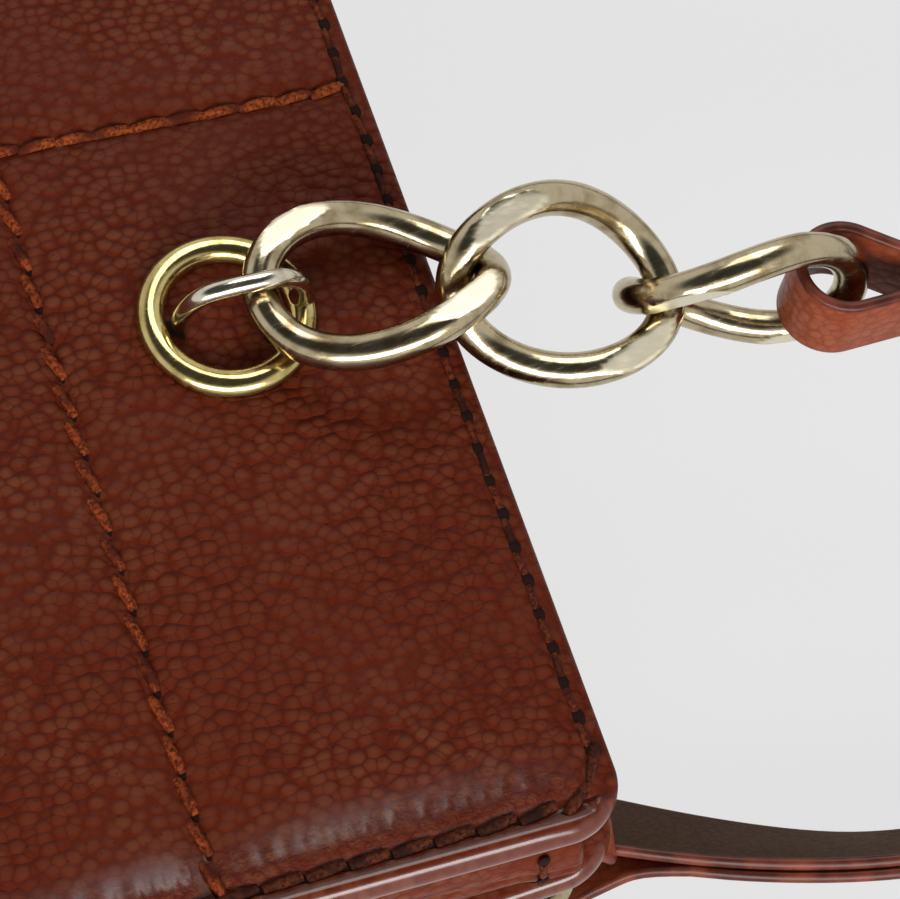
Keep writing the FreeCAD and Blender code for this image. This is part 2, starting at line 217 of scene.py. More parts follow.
bagLeather = leather("bagLeather", tint(44, 9, 2), tint(80, 26, 9), tint(95, 49, 29), 830, 0.00027, 0.5, 0.12, True)
sideLeather = leather("sideLeather", tint(46, 11, 3), tint(84, 30, 12), tint(94, 46, 28), 830, 0.00012, 0.42)
strapLeather = leather("strapLeather", tint(70, 28, 14), tint(118, 54, 31), tint(132, 72, 48), 900, 0.00006, 0.38)
strapUnder = leather("strapUnder", tint(50, 36, 27), tint(70, 52, 40), tint(78, 60, 47), 1500, 0.00004, 0.72)
facingLeather = leather("facingLeather", tint(52, 22, 12), tint(84, 40, 24), tint(96, 54, 36), 700, 0.00008, 0.5)


def edgePaint():
    mat, tree, bsdf, spot = newMaterial("edgePaint", {"Specular IOR Level": 0.25})
    wear = noiseOf(tree, spot, 260, 4)
    body = mixColour(tree, ramp(tree, wear, 0.35, 0.7), tint(64, 25, 16), tint(112, 52, 34))
    tree.links.new(body, bsdf.inputs["Base Color"])
    tree.links.new(mathOf(tree, "MULTIPLY_ADD", wear, 0.3, 0.2), bsdf.inputs["Roughness"])
    bumpTo(tree, bsdf, wear, 0.4, 0.0001)
    return mat


def thread(name, dark, light):
    mat, tree, bsdf, spot = newMaterial(name, {"Roughness": 0.7, "Specular IOR Level": 0.1})
    twist = noiseOf(tree, spot, 2600, 3, Roughness=0.7)
    shade = noiseOf(tree, spot, 320, 2)
    pick = mathOf(tree, "MULTIPLY", ramp(tree, twist, 0.34, 0.66), ramp(tree, shade, 0.3, 0.6))
    tree.links.new(mixColour(tree, pick, dark, light), bsdf.inputs["Base Color"])
    bumpTo(tree, bsdf, twist, 0.8, 0.00012)
    return mat


def goldMetal(name, clean, worn, rough):
    mat, tree, bsdf, spot = newMaterial(name, {"Metallic": 1.0})
    lay = {"Vector": spot, "Scale": (1.0, 0.16, 0.5), "Rotation": (0, 0.3, 0.5)}
    long = put(tree, "ShaderNodeMapping", lay).outputs[0]
    scratch = noiseOf(tree, long, 2400, 5, Roughness=0.72)
    cloud = noiseOf(tree, spot, 420, 4)
    ground = put(tree, "ShaderNodeAttribute", attribute_name="ground").outputs["Fac"]
    body = mixColour(tree, ramp(tree, cloud, 0.4, 0.75), clean, worn)
    # painted reflection: the ground flats of the links are mixed towards a pale cream
    body = mixColour(tree, mathOf(tree, "MULTIPLY", ground, 0.85), body, (0.84, 0.77, 0.58, 1))
    tree.links.new(body, bsdf.inputs["Base Color"])
    haze = mathOf(tree, "MULTIPLY_ADD", ramp(tree, scratch, 0.45, 0.75), 0.16, rough)
    haze = mathOf(tree, "MULTIPLY_ADD", ground, 0.16, haze)
    tree.links.new(mathOf(tree, "MULTIPLY_ADD", cloud, 0.08, haze), bsdf.inputs["Roughness"])
    bumpTo(tree, bsdf, mathOf(tree, "MULTIPLY_ADD", cloud, 0.9, mathOf(tree, "MULTIPLY", scratch, 0.25)), 0.28, 0.00008)
    return mat


def cloth():
    finish = {"Roughness": 0.85, "Specular IOR Level": 0.2, "Sheen Weight": 0.2}
    mat, tree, bsdf, spot = newMaterial("liningCloth", finish)
    weave = {"Vector": spot, "Scale": 420, "Distortion": 0.6}
    weave = put(tree, "ShaderNodeTexWave", weave, bands_direction="DIAGONAL").outputs[1]
    fuzz = noiseOf(tree, spot, 240, 4)
    blend = mathOf(tree, "MULTIPLY_ADD", weave, 0.5, mathOf(tree, "MULTIPLY", fuzz, 0.5))
    body = mixColour(tree, blend, tint(74, 48, 34), tint(112, 78, 58))
    tree.links.new(body, bsdf.inputs["Base Color"])
    bumpTo(tree, bsdf, weave, 0.5, 0.0002)
    return mat


def plain(name, colour, other, scale, rough, metal):
    mat, tree, bsdf, spot = newMaterial(name, {"Metallic": metal, "Specular IOR Level": 0.12})
    mottle = noiseOf(tree, spot, scale, 5)
    tree.links.new(mixColour(tree, mottle, colour, other), bsdf.inputs["Base Color"])
    tree.links.new(mathOf(tree, "MULTIPLY_ADD", mottle, 0.2, rough), bsdf.inputs["Roughness"])
    bumpTo(tree, bsdf, mottle, 0.2, 0.0001)
    return mat


edgeMat = edgePaint()
brightThread = thread("brightThread", tint(70, 22, 7), tint(146, 68, 24))
rowThread = thread("rowThread", tint(56, 17, 6), tint(138, 60, 22))
sideThread = thread("sideThread", tint(30, 12, 7), tint(92, 40, 19))
darkThread = thread("darkThread", tint(42, 15, 8), tint(104, 44, 20))
chainGold = goldMetal("chainGold", (0.50, 0.42, 0.27, 1), (0.28, 0.21, 0.11, 1), 0.12)
ringGold = goldMetal("ringGold", (0.60, 0.48, 0.20, 1), (0.36, 0.27, 0.09, 1), 0.11)
bailGold = goldMetal("bailGold", (0.70, 0.65, 0.53, 1), (0.46, 0.39, 0.26, 1), 0.1)
liningCloth = cloth()
boardMat = plain("boardFibre", tint(96, 84, 70), tint(128, 112, 94), 600, 0.7, 0.0)
plateMat = plain("plateSteel", (0.42, 0.41, 0.4, 1), (0.56, 0.55, 0.53, 1), 500, 0.3, 1.0)
# near-black material for the painted shade in needle holes and bail holes
holeShade = plain("holeShade", tint(20, 8, 5), tint(34, 14, 8), 900, 0.8, 0.0)
print("materials made")


def newPiece(name, verts, faces, mats, indices=None, smooth=True):
    mesh = bpy.data.meshes.new(name)
    mesh.from_pydata([tuple(v) for v in verts], [], faces)
    for mat in mats:
        mesh.materials.append(mat)
    if indices is not None:
        mesh.polygons.foreach_set("material_index", indices)
    bm = bmesh.new()
    bm.from_mesh(mesh)
    bmesh.ops.recalc_face_normals(bm, faces=bm.faces)
    bm.to_mesh(mesh)
    bm.free()
    if smooth:
        mesh.shade_smooth()
    piece = bpy.data.objects.new(name, mesh)
    scene.collection.objects.link(piece)
    return piece


def settle(piece, body, slot, *replaced):
    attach(piece, body)
    if replaced:
        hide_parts(*replaced)


def placeOf(x, y, z, origin):
    turn = Matrix((x, y, z)).transposed().to_4x4()
    return Matrix.Translation(Vector(origin)) @ turn


slopeFront, slopeBack = math.radians(9), math.radians(3.9206)
frontY = Vector((0, math.cos(slopeFront), -math.sin(slopeFront)))
frontZ = Vector((0, math.sin(slopeFront), math.cos(slopeFront)))
backY = Vector((0, math.cos(slopeBack), math.sin(slopeBack)))
backZ = Vector((0, math.sin(slopeBack), -math.cos(slopeBack)))
alongX = Vector((1, 0, 0))
frontHigh, backHigh = 186.0, 184.141
frontPlace = placeOf(alongX, frontY, frontZ, (0, -14.512, 29.590))
backPlace = placeOf(-alongX, backY, backZ, Vector((0, -198.222, 0)) + backY * backHigh)

# quilted front and back panels as closed shells, in millimetres from the mouth edge
panelSet = {
    "half": 119.2, "mouthOut": 0.35, "mouthCorner": 5.6, "baseCorner": 8.0, "thick": 3.2, "roll": 1.6,
    "lineX": 40.0, "rowStep": 37.2, "puff": 0.62, "puffReach": 3.4, "groove": 0.42, "grooveWide": 0.75,
    "mouthStitch": 1.75, "mouthDip": 0.4, "sideStitch": 3.1, "sideDip": 0.7, "sideSwell": 0.3,
    "seamEase": 4.5, "pucker": 0.07, "puckerStep": 1.9, "wave": 0.16, "fine": 0.55, "coarse": 1.3,
    "margin": 6.5, "fineDown": 55,
}


def steps(low, high, size):
    return np.linspace(low, high, max(2, int(round((high - low) / size)) + 1))


def roundCorners(x, y, high):
    p = panelSet
    px, py = x.copy(), y.copy()
    for sx in (-1, 1):
        for cy, r, sy in ((0.0, p["mouthCorner"], 1), (-high, p["baseCorner"], -1)):
            u = sx * x - (p["half"] - r)
            v = sy * (y - cy) + r
            inside = (u > 0) & (v > 0)
            far = np.maximum(u, v)
            scale = np.where(inside, far / np.maximum(np.hypot(u, v), 1e-9), 1.0)
            px = np.where(inside, sx * (p["half"] - r + u * scale), px)
            py = np.where(inside, cy + sy * (v * scale - r), py)
    return px, py


def edgeDistance(x, y, high):
    p = panelSet
    r = np.where(y > -high / 2, p["mouthCorner"], p["baseCorner"])
    dx = np.abs(x) - (p["half"] - r)
    dy = np.abs(y + high / 2) - (high / 2 - r)
    out = np.hypot(np.maximum(dx, 0), np.maximum(dy, 0)) + np.minimum(np.maximum(dx, dy), 0)
    return r - out


def panelRelief(x, y, high):
    p = panelSet
    away = edgeDistance(x, y, high)
    side = p["half"] - np.abs(x)
    mouth = -y
    line = np.abs(np.abs(x) - p["lineX"])
    row = np.abs(mouth / p["rowStep"] - np.round(mouth / p["rowStep"])) * p["rowStep"]
    row = np.where(mouth < p["rowStep"] / 2, 99.0, row)
    seam = np.minimum(line, row)
    z = -p["puff"] * np.exp(-seam / p["puffReach"]) - p["groove"] * np.exp(-(seam / p["grooveWide"]) ** 2)
    ease = np.clip(away / p["seamEase"], 0, 1)
    z *= ease * ease * (3 - 2 * ease)
    z -= p["mouthDip"] * np.exp(-((mouth - p["mouthStitch"]) / 0.8) ** 2) * (side > p["sideStitch"])
    lip = np.minimum(side, y + high)
    z -= p["sideDip"] * np.exp(-((lip - p["sideStitch"]) / 0.85) ** 2) * (mouth > 3)
    z += p["sideSwell"] * np.exp(-((lip - 1.4) / 0.9) ** 2) * np.clip((mouth - 2) / 6, 0, 1)
    drift = 2.6 * np.sin(y / 5.3) + 1.9 * np.sin(y / 2.1 + x / 3.0)
    fold = np.sin(2 * math.pi * (y + 0.35 * x) / p["puckerStep"] + drift)
    z += p["pucker"] * fold * np.exp(-((lip - 5.2) / 1.5) ** 2) * np.clip((mouth - 4) / 6, 0, 1)
    swell = np.sin(x / 15 + 1.1) * np.sin(y / 19 + 0.3) + 0.6 * np.sin(x / 7.3 + y / 11.7)
    z += p["wave"] * swell * np.clip(away / 8, 0, 1)
    near = np.clip(1 - away / p["roll"], 0, 1)
    return z - p["thick"] / 2 * (1 - np.sqrt(np.maximum(0, 1 - near ** 2))) - 0.02


def gridFaces(rows, cols, base=0):
    starts = [base + r * cols + c for r in range(rows - 1) for c in range(cols - 1)]
    return [(a, a + 1, a + cols + 1, a + cols) for a in starts]


def gridRing(rows, cols):
    ring = list(range(cols)) + [r * cols + cols - 1 for r in range(1, rows)]
    ring += [(rows - 1) * cols + c for c in range(cols - 2, -1, -1)]
    return ring + [r * cols for r in range(rows - 2, 0, -1)]


def quiltedPanel(name, place, high, fineFrom):
    p = panelSet
    lip = np.array([0, 0.06, 0.2, 0.45, 0.8, 1.2, 1.6, 2.1, 2.6, 3.2, 3.8, 4.3, 4.7, 5.2, 5.8])
    half = p["half"]
    margin, fine, coarse, fineDown = p["margin"], p["fine"], p["coarse"], p["fineDown"]
    xs = (-half + lip, steps(-half + margin, fineFrom, coarse), steps(fineFrom + fine, half - margin, fine))
    xs = np.concatenate((*xs, (half - lip)[::-1]))
    ys = (-high + lip, steps(-high + margin, -fineDown, coarse), steps(-fineDown + fine, -margin, fine))
    ys = np.concatenate((*ys, -lip[::-1]))
    gx, gy = np.meshgrid(xs, ys)
    px, py = roundCorners(gx, gy, high)
    pz = panelRelief(px, py, high)
    rows, cols = px.shape
    verts = list(zip(px.ravel(), py.ravel(), pz.ravel()))
    faces, ring = gridFaces(rows, cols), gridRing(rows, cols)
    outline = np.array([verts[i] for i in ring])
    ahead = np.roll(outline, -1, axis=0) - np.roll(outline, 1, axis=0)
    out = np.stack((ahead[:, 1], -ahead[:, 0]), axis=1)
    out /= np.linalg.norm(out, axis=1)[:, None]
    last = ring
    for turn in (30, 60, 90):
        a = math.radians(turn)
        base = len(verts)
        for i in range(len(ring)):
            inset = p["roll"] * (1 - math.cos(a))
            x, y = outline[i, :2] - out[i] * inset
            verts.append((x, y, -p["thick"] / 2 * (1 + math.sin(a))))
        now = list(range(base, base + len(ring)))
        for i in range(len(ring)):
            j = (i + 1) % len(ring)
            faces.append((last[i], now[i], now[j], last[j]))
        last = now
    faces.append(tuple(last))
    verts = [Vector(v) + Vector((0, p["mouthOut"] * max(0, 1 + v[1] / 4), 0)) for v in verts]
    piece = newPiece(name, [(place @ v) * mm for v in verts], faces, [bagLeather])
    flat = np.array([tuple(v) for v in verts])
    lipFar = np.minimum(half - np.abs(flat[:, 0]), flat[:, 1] + high)
    fade = np.clip((-flat[:, 1] - 1) / 8, 0, 1)
    rim = np.exp(-(lipFar / 2.8) ** 4)
    drawn = np.exp(-((lipFar - 5.3) / 2.1) ** 2) * fade
    for label, values in (("rim", rim), ("drawn", drawn)):
        layer = piece.data.attributes.new(label, "FLOAT", "POINT")
        layer.data.foreach_set("value", values)
    return piece


frontPanel = quiltedPanel("frontPanel", frontPlace, frontHigh, 28.0)
settle(frontPanel, "bag", "bag_leather", "front_panel")
backPanel = quiltedPanel("backPanel", backPlace, backHigh, 100.0)
settle(backPanel, "bag", "bag_leather", "back_panel")
print("panels made", len(frontPanel.data.polygons), len(backPanel.data.polygons))


# geometry node trees: each has named inputs, sets its materials and realizes its instances
def newTree(name, inputs):
    tree = bpy.data.node_groups.new(name, "GeometryNodeTree")
    tree.interface.new_socket("Geometry", in_out="INPUT", socket_type="NodeSocketGeometry")
    for label, kind in inputs:
        tree.interface.new_socket(label, in_out="INPUT", socket_type=kind)
    tree.interface.new_socket("Geometry", in_out="OUTPUT", socket_type="NodeSocketGeometry")
    return tree, put(tree, "NodeGroupInput").outputs, put(tree, "NodeGroupOutput")


def runTree(name, tree, mesh, values):
    piece = bpy.data.objects.new(name, mesh)
    scene.collection.objects.link(piece)
    mod = piece.modifiers.new("shape", "NODES")
    mod.node_group = tree
    for item in tree.interface.items_tree:
        if item.in_out == "INPUT" and item.name in values:
            mod[item.identifier] = values[item.name]
    piece.update_tag()
    graph = bpy.context.evaluated_depsgraph_get()
    made = bpy.data.meshes.new_from_object(piece.evaluated_get(graph), depsgraph=graph)
    piece.modifiers.remove(mod)
    piece.data = made
    made.shade_smooth()
    return piece


def vectorOf(tree, x=0.0, y=0.0, z=0.0):
    return put(tree, "ShaderNodeCombineXYZ", {0: x, 1: y, 2: z}).outputs[0]


def stitchTree():
    names = ["Pitch", "Length", "Thick", "Rise", "Slant", "Hole"]
    sockets = [(n, "NodeSocketFloat") for n in names] + [(n, "NodeSocketMaterial") for n in ("Thread", "ShadeDisc")]
    tree, given, end = newTree("sewnStitches", sockets)
    path = put(tree, "GeometryNodeMeshToCurve", {0: given["Geometry"]}).outputs[0]
    path = put(tree, "GeometryNodeResampleCurve", {"Curve": path, "Length": given["Pitch"]}, mode="LENGTH").outputs[0]
    half = mathOf(tree, "MULTIPLY", given["Length"], 0.5)
    back = mathOf(tree, "MULTIPLY", half, -1.0)
    sunk = mathOf(tree, "MULTIPLY", given["Rise"], -0.7)
    crown = vectorOf(tree, 0, 0, mathOf(tree, "MULTIPLY", given["Rise"], 2.2))
    bow = {"Start": vectorOf(tree, back, 0, sunk), "Middle": crown, "End": vectorOf(tree, half, 0, sunk)}
    arc = put(tree, "GeometryNodeCurveQuadraticBezier", {"Resolution": 6, **bow})
    tip = put(tree, "GeometryNodeCurvePrimitiveCircle", {"Resolution": 7, "Radius": given["Thick"]})
    sweep = {"Curve": arc.outputs[0], "Profile Curve": tip.outputs[0], "Fill Caps": True}
    yarn = put(tree, "GeometryNodeCurveToMesh", sweep).outputs[0]
    yarn = put(tree, "GeometryNodeSetMaterial", {"Geometry": yarn, "Material": given["Thread"]}).outputs[0]
    # flattened dark disc beside each stitch: painted shade inside the needle hole
    disc = put(tree, "GeometryNodeMeshUVSphere", {"Segments": 8, "Rings": 5, "Radius": given["Hole"]}).outputs[0]
    aside = vectorOf(tree, mathOf(tree, "MULTIPLY", given["Pitch"], 0.5))
    squash = {"Geometry": disc, "Translation": aside, "Scale": (1.25, 0.9, 0.3)}
    disc = put(tree, "GeometryNodeTransform", squash).outputs[0]
    disc = put(tree, "GeometryNodeSetMaterial", {"Geometry": disc, "Material": given["ShadeDisc"]}).outputs[0]
    one = put(tree, "GeometryNodeJoinGeometry", {0: yarn})
    tree.links.new(disc, one.inputs[0])
    way = put(tree, "GeometryNodeInputTangent").outputs[0]
    up = put(tree, "GeometryNodeInputNamedAttribute", {"Name": "up"}, data_type="FLOAT_VECTOR").outputs[0]
    turn = put(tree, "FunctionNodeAlignRotationToVector", {"Vector": way}, axis="X").outputs[0]
    face = {"Rotation": turn, "Vector": up}
    turn = put(tree, "FunctionNodeAlignRotationToVector", face, axis="Z", pivot_axis="X").outputs[0]
    jitter = put(tree, "FunctionNodeRandomValue", {2: -0.12, 3: 0.12, "Seed": 7}, data_type="FLOAT").outputs[1]
    angle = mathOf(tree, "ADD", given["Slant"], jitter)
    lean = put(tree, "FunctionNodeAxisAngleToRotation", {"Axis": (0, 0, 1), "Angle": angle}).outputs[0]
    turn = put(tree, "FunctionNodeRotateRotation", {0: turn, 1: lean}, rotation_space="LOCAL").outputs[0]
    spread = {"Points": path, "Instance": one.outputs[0], "Rotation": turn}
    sewn = put(tree, "GeometryNodeInstanceOnPoints", spread).outputs[0]
    sewn = put(tree, "GeometryNodeRealizeInstances", {0: sewn}).outputs[0]
    tree.links.new(sewn, end.inputs[0])
    return tree


sewnStitches = stitchTree()


def stitchCarrier(name, runs):
    verts, edges, ups = [], [], []
    for points, normals in runs:
        base = len(verts)
        verts += [tuple(Vector(v) * mm) for v in points]
        ups += [tuple(n) for n in normals]
        edges += [(base + i, base + i + 1) for i in range(len(points) - 1)]
    mesh = bpy.data.meshes.new(name)
    mesh.from_pydata(verts, edges, [])
    layer = mesh.attributes.new("up", "FLOAT_VECTOR", "POINT")
    layer.data.foreach_set("vector", [c for n in ups for c in n])
    return mesh


def sew(name, runs, body, kind):
    values = {key: (v * mm if key in ("Pitch", "Length", "Thick", "Rise", "Hole") else v) for key, v in kind.items()}
    values["ShadeDisc"] = holeShade
    piece = runTree(name, sewnStitches, stitchCarrier(name, runs), values)
    settle(piece, body, None)
    return piece


columnStitch = {
    "Pitch": 3.6, "Length": 3.5, "Thick": 0.56, "Rise": 0.3,
    "Slant": 0.1, "Hole": 0.5, "Thread": brightThread,
}
rowStitch = {
    "Pitch": 3.9, "Length": 3.5, "Thick": 0.5, "Rise": 0.22,
    "Slant": 0.3, "Hole": 0.6, "Thread": rowThread,
}
mouthStitch = {
    "Pitch": 3.4, "Length": 2.3, "Thick": 0.36, "Rise": 0.1,
    "Slant": 0.05, "Hole": 0.72, "Thread": darkThread,
}
sideStitch = {
    "Pitch": 3.9, "Length": 3.5, "Thick": 0.56, "Rise": 0.12,
    "Slant": 0.16, "Hole": 0.7, "Thread": sideThread,
}


def panelRun(place, high, xy, lift):
    xy = np.array(xy)
    z = panelRelief(xy[:, 0], xy[:, 1], high) + lift
    up = place.to_3x3() @ Vector((0, 0, 1))
    return [place @ Vector((a, b, c)) for (a, b), c in zip(xy, z)], [up] * len(xy)


def lineOf(a, b):
    count = int(math.dist(a, b)) + 1
    return [(a[0] + (b[0] - a[0]) * i / count, a[1] + (b[1] - a[1]) * i / count) for i in range(count + 1)]


def sewPanel(word, place, high):
    p = panelSet
    inset = p["half"] - p["sideStitch"]
    lines = [lineOf((s * p["lineX"], -3.4), (s * p["lineX"], -high + 7)) for s in (-1, 1)]
    columns = [panelRun(place, high, line, 0.12) for line in lines]
    sew(word + "ColumnStitches", columns, "bag", columnStitch)
    rows = []
    k = 1
    while k * p["rowStep"] < high - 8:
        rows.append(panelRun(place, high, lineOf((-inset + 2, -k * p["rowStep"]), (inset - 2, -k * p["rowStep"])), 0.1))
        k += 1
    sew(word + "RowStitches", rows, "bag", rowStitch)
    mouth, reach = -p["mouthStitch"], p["half"] - 9
    edge = [panelRun(place, high, lineOf((-reach, mouth), (reach, mouth)), 0.05)]
    sew(word + "MouthStitches", edge, "bag", mouthStitch)
    sides = []
    for s in (-1, 1):
        turn = np.linspace(0.2, math.pi / 2, 10)
        bend = [(s * (inset - 4.0 + 4.0 * math.sin(a)), mouth - 4.2 * (1 - math.cos(a))) for a in turn]
        down = lineOf(bend[-1], (s * inset, -high + 6))
        sides.append(panelRun(place, high, bend + down[1:], 0.1))
    foot = -high + p["sideStitch"]
    sides.append(panelRun(place, high, lineOf((-inset + 3, foot), (inset - 3, foot)), 0.1))
    sew(word + "SideStitches", sides, "bag", sideStitch)


sewPanel("front", frontPlace, frontHigh)
sewPanel("back", backPlace, backHigh)
print("panel stitches sewn")


# chain links, all bent from one twisted and ground shape
linkSet = {"Reach": 10.92, "Breadth": 8.1, "Wire": 1.72, "Twist": math.radians(24), "Flat": 2.8}


def linkTree():
    sockets = [(n, "NodeSocketFloat") for n in linkSet] + [("Metal", "NodeSocketMaterial")]
    tree, given, end = newTree("curbLink", sockets)
    loop = put(tree, "GeometryNodeCurvePrimitiveCircle", {"Resolution": 112, "Radius": 0.01}).outputs[0]
    angle = mathOf(tree, "MULTIPLY", put(tree, "GeometryNodeSplineParameter").outputs[0], 2 * math.pi)
    c, s = mathOf(tree, "COSINE", angle), mathOf(tree, "SINE", angle)
    turn = mathOf(tree, "MULTIPLY", mathOf(tree, "MULTIPLY", given["Twist"], c), -1.0)
    side = mathOf(tree, "MULTIPLY", given["Breadth"], s)
    across = mathOf(tree, "MULTIPLY", side, mathOf(tree, "COSINE", turn))
    raised = mathOf(tree, "MULTIPLY", side, mathOf(tree, "SINE", turn))
    spot = vectorOf(tree, mathOf(tree, "MULTIPLY", given["Reach"], c), across, raised)
    loop = put(tree, "GeometryNodeSetPosition", {"Geometry": loop, "Position": spot}).outputs[0]
    wire = put(tree, "GeometryNodeCurvePrimitiveCircle", {"Resolution": 28, "Radius": given["Wire"]}).outputs[0]
    body = put(tree, "GeometryNodeCurveToMesh", {"Curve": loop, "Profile Curve": wire}).outputs[0]
    here = put(tree, "ShaderNodeSeparateXYZ", {0: put(tree, "GeometryNodeInputPosition").outputs[0]})
    low = mathOf(tree, "MULTIPLY", given["Flat"], -1.0)
    cut = mathOf(tree, "GREATER_THAN", mathOf(tree, "ABSOLUTE", here.outputs[2]), given["Flat"])
    body = put(tree, "GeometryNodeStoreNamedAttribute", {"Geometry": body, "Name": "ground", "Value": cut}).outputs[0]
    ground = mathOf(tree, "MAXIMUM", mathOf(tree, "MINIMUM", here.outputs[2], given["Flat"]), low)
    flat = vectorOf(tree, here.outputs[0], here.outputs[1], ground)
    body = put(tree, "GeometryNodeSetPosition", {"Geometry": body, "Position": flat}).outputs[0]
    body = put(tree, "GeometryNodeRealizeInstances", {0: body}).outputs[0]
    body = put(tree, "GeometryNodeSetMaterial", {"Geometry": body, "Material": given["Metal"]}).outputs[0]
    tree.links.new(body, end.inputs[0])
    return tree


def cadPoints(node):
    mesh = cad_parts[node].data
    found = np.empty(len(mesh.vertices) * 3)
    mesh.vertices.foreach_get("co", found)
    world = np.array(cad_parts[node].matrix_world)
    return found.reshape(-1, 3) @ world[:3, :3].T + world[:3, 3]


def makeLinks():
    seed = bpy.data.meshes.new("linkSeed")
    seed.from_pydata([(0, 0, 0)], [], [])
    values = {key: (v if key == "Twist" else v * mm) for key, v in linkSet.items()}
    values["Metal"] = chainGold
    pattern = runTree("linkPattern", linkTree(), seed, values)
    shape = pattern.data
    bpy.data.objects.remove(pattern)
    shape.set_sharp_from_angle(angle=math.radians(32))
    order = ("first", "second", "third")
    for side in ("right", "left"):
        for face in ("front", "back"):
            for k in range(3):
                node = "%s_%s_link_%d" % (face, side, k + 1)
                points = np.unique(np.round(cadPoints(node), 7), axis=0)
                centre = points.mean(axis=0)
                axes = np.linalg.eigh(np.cov((points - centre).T))[1]
                x, y = Vector(axes[:, 2]), Vector(axes[:, 1])
                mesh = shape.copy()
                mesh.transform(placeOf(x, y, x.cross(y), centre))
                piece = bpy.data.objects.new("%s%sLink%d" % (face, side.capitalize(), k + 1), mesh)
                scene.collection.objects.link(piece)
                body = "%s %s %s link" % (face, side, order[k])
                settle(piece, "front strap" if face == "front" and k == 2 else body, "gold_metal", node)


makeLinks()
print("links placed")


# eyelet rings with their soldered bails
eyeSet = {
    "x": 62.4, "y": -34.799, "frontZ": 32.8035, "backZ": 11.2,
    "ring": 7.15, "tube": 1.45, "backTube": 1.3, "hole": 1.15,
    "rise": 0.3, "wire": 0.9, "height": 7.6, "foot": -4.5, "lean": 0.9,
}


def smoothPath(points, count):
    pts = [np.array(p, float) for p in points]
    pts = [2 * pts[0] - pts[1]] + pts + [2 * pts[-1] - pts[-2]]
    out = []
    for i in range(1, len(pts) - 2):
        a, b, c, d = pts[i - 1:i + 3]
        for t in np.linspace(0, 1, count, endpoint=False):
            square, cube = 2 * a - 5 * b + 4 * c - d, 3 * b - a - 3 * c + d
            out.append(0.5 * (2 * b + (c - a) * t + square * t ** 2 + cube * t ** 3))
    return out + [pts[-2]]


def tubeMesh(points, radii, sides, closed=False):
    verts, faces = [], []
    count = len(points)
    hint = Vector((1, 0, 0.02))
    for i in range(count):
        a = Vector(points[i - 1] if closed or i else points[0])
        b = Vector(points[(i + 1) % count] if closed or i < count - 1 else points[-1])
        way = (b - a).normalized()
        u = (hint - way * hint.dot(way)).normalized()
        v = way.cross(u)
        for j in range(sides):
            t = 2 * math.pi * j / sides
            verts.append(Vector(points[i]) + (u * math.cos(t) + v * math.sin(t)) * radii[i])
    for i in range(count if closed else count - 1):
        n = (i + 1) % count
        for j in range(sides):
            k = (j + 1) % sides
            faces.append((i * sides + j, n * sides + j, n * sides + k, i * sides + k))
    if not closed:
        faces.append(tuple(range(sides)))
        faces.append(tuple(range((count - 1) * sides, count * sides)))
    return verts, faces


def ringMesh(e, tube):
    verts, faces = [], []
    around, sides = 84, 24
    for i in range(around):
        a = 2 * math.pi * i / around
        for j in range(sides):
            t = 2 * math.pi * j / sides
            r = e["ring"] + tube * math.cos(t)
            z = e["rise"] + tube * math.sin(t)
            verts.append(Vector((r * math.cos(a), r * math.sin(a), max(z, -0.75))))
    for i in range(around):
        for j in range(sides):
            n, k = (i + 1) % around, (j + 1) % sides
            faces.append((i * sides + j, n * sides + j, n * sides + k, i * sides + k))
    return verts, faces


def bailMesh(e, lean):
    h, foot = e["height"], e["foot"]
    top = e["rise"] + e["tube"]
    ring = e["ring"]
    pts = [(0, foot, -3.2), (0, foot, 0), (0.2 * lean, foot, 0.4 * h), (0.7 * lean, 0.62 * foot, 0.86 * h)]
    pts += [(lean, 0.25 * ring, h), (0.8 * lean, 0.66 * ring, 0.91 * h), (0.4 * lean, 0.93 * ring, 0.6 * h)]
    pts += [(0.1 * lean, ring, top), (0.1 * lean, ring, top - 0.35)]
    line = smoothPath(pts, 8)
    radii = []
    for i in range(len(line)):
        left = np.linalg.norm(line[-1] - line[i])
        lump = 0.34 * math.exp(-(left / 1.5) ** 2) + 0.06 * math.sin(left * 4.2) * math.exp(-left / 2.2)
        radii.append(e["wire"] + lump)
    return tubeMesh(line, radii, 18)


def makeEyelets():
    e = eyeSet
    for face in ("front", "back"):
        for side, s in (("right", 1), ("left", -1)):
            if face == "front":
                place, lean = placeOf(alongX, frontY, frontZ, (s * e["x"], e["y"], e["frontZ"])), s * e["lean"]
            else:
                place, lean = placeOf(-alongX, backY, backZ, (s * e["x"], e["y"], e["backZ"])), -s * e["lean"]
            ring = ringMesh(e, e["tube"] if face == "front" else e["backTube"])
            for word, shape, gold in (("eyelet", ring, ringGold), ("bail", bailMesh(e, lean), bailGold)):
                world = [(place @ v) * mm for v in shape[0]]
                piece = newPiece("%s%s%s" % (face, side.capitalize(), word.capitalize()), world, shape[1], [gold])
                settle(piece, "bag", "gold_metal", "%s_%s_%s" % (face, side, word))


# flat near-black discs where the bail wires enter the leather: painted shade inside the holes
def makeHoleShades(word, place, high):
    e = eyeSet
    verts, faces = [], []
    for s in (-1, 1):
        x = s * e["x"]
        y = (e["y"] - place[1][3]) / place[1][1] + e["foot"] - 0.35
        z = float(panelRelief(np.array([x]), np.array([y]), high)[0]) + 0.08
        base = len(verts)
        for k in range(16):
            a = 2 * math.pi * k / 16
            r = e["hole"] * (1 + 0.2 * math.sin(3 * a + 1) + 0.12 * math.sin(5 * a))
            verts.append((place @ Vector((x + r * math.cos(a), y + 0.8 * r * math.sin(a), z))) * mm)
        faces.append(tuple(range(base, base + 16)))
    settle(newPiece(word + "BailHoles", verts, faces, [holeShade]), "bag", None)


makeEyelets()
makeHoleShades("front", frontPlace, frontHigh)
makeHoleShades("back", backPlace, backHigh)
print("eyelets made")


